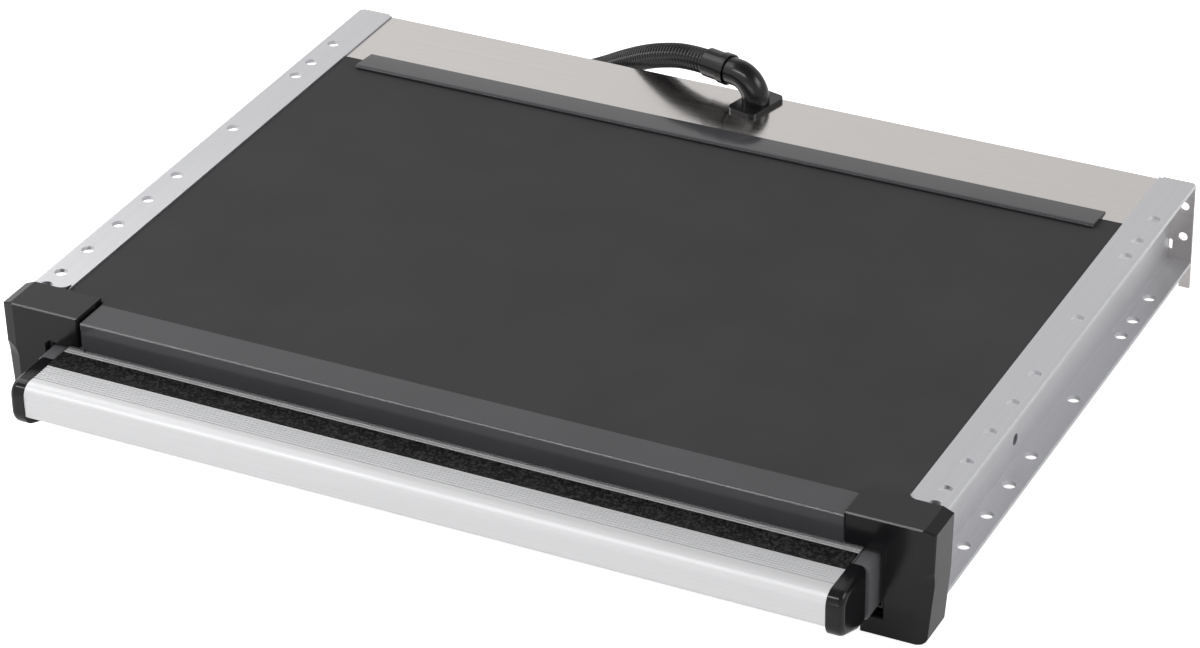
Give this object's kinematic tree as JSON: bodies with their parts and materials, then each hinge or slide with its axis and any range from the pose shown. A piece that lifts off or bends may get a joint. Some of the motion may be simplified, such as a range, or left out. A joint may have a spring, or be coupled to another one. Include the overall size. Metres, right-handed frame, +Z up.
{
  "type": "caravan pull out step",
  "caption": "Powered slide-out entrance step for a caravan: a flat cassette between two channel rails, with a ribbed tread that slides out at the front on two arms.",
  "frame": {"origin": "middle of the footprint, on the ground that the end caps and rear tabs stand on, conduit left out", "axes": "+X to the right seen from the front, +Y to the rear, +Z up; the step slides out along -Y"},
  "size_m": [0.6729, 0.613, 0.1144],
  "materials": {
    "rail_aluminium": "satin anodised extrusion",
    "tread_aluminium": "bright extruded ribs",
    "rear_steel": "brushed lengthwise, slightly warm",
    "black_cover": "satin black coating",
    "black_profile": "satin black anodised extrusion",
    "black_moulding": "satin moulded, near black",
    "cap_left_moulding": "satin moulded, near black",
    "arm_steel": "dark grey coating",
    "grip": "coarse grit",
    "guide_plastic": "plain",
    "bumper_rubber": "plain",
    "zinc_steel": "zinc plated",
    "gear_steel": "machined, greased",
    "bronze": "sintered",
    "cast_housing": "die cast",
    "motor_black": "gloss black",
    "conduit_plastic": "black, corrugated",
    "connector_plastic": "plain",
    "lead_rubber": "sheathed",
    "switch_plastic": "plain"
  },
  "bodies": {
    "root": {"left_rail": "rail_aluminium", "right_rail": "rail_aluminium", "left_end_cap": "black_moulding", "right_end_cap": "black_moulding", "left_front_guide": "guide_plastic", "right_front_guide": "guide_plastic", "left_end_stop": "guide_plastic", "right_end_stop": "guide_plastic", "left_rear_bumper": "bumper_rubber", "right_rear_bumper": "bumper_rubber", "left_bearing_bracket": "zinc_steel", "right_bearing_bracket": "zinc_steel", "left_shaft_bush": "bronze", "right_shaft_bush": "bronze", "top_cover": "black_cover", "front_fascia": "black_profile", "rear_member": "rear_steel", "rear_trim_strip": "black_profile", "base_pan": "zinc_steel", "front_crossbar": "arm_steel", "gearbox_housing": "cast_housing", "gearbox_cover": "cast_housing", "gearbox_screws": "zinc_steel", "motor_can": "motor_black", "motor_end_cap": "motor_black", "motor_cradle": "cast_housing", "limit_switch_in": "switch_plastic", "limit_switch_out": "switch_plastic", "motor_lead": "lead_rubber", "lead_clip": "guide_plastic", "conduit_flange": "cap_left_moulding", "conduit_elbow": "conduit_plastic", "conduit_collar": "conduit_plastic", "conduit": "conduit_plastic", "connector_boot": "conduit_plastic", "connector": "connector_plastic", "pan_screws": "zinc_steel"},
    "step": {"left_tread_cap": "black_moulding", "right_tread_cap": "black_moulding", "left_arm": "arm_steel", "right_arm": "arm_steel", "left_rack": "gear_steel", "right_rack": "gear_steel", "left_rear_glide": "guide_plastic", "right_rear_glide": "guide_plastic", "tread_nose": "tread_aluminium", "grip_tape": "grip", "front_plank": "tread_aluminium", "rear_plank": "tread_aluminium", "deck_grip_strips": "grip", "deck_screws": "zinc_steel", "glide_screws": "zinc_steel"},
    "drive_shaft": {"left_pinion": "gear_steel", "right_pinion": "gear_steel", "cross_shaft": "zinc_steel", "pinion_pins": "zinc_steel"}
  },
  "joints": [
    {"name": "step_slide", "type": "slide", "parent": "root", "child": "step", "axis": [0, -1, 0], "range_m": [0, 0.25]},
    {"name": "drive_shaft_turn", "type": "hinge", "parent": "root", "child": "drive_shaft", "pos_m": [0, -0.02409, 0.032], "axis": [1, 0, 0], "range_deg": [-10, 1480]}
  ],
  "couplings": [
    {"joint": "drive_shaft_turn", "follows": "step_slide", "rad_per_m": 102.56}
  ]
}
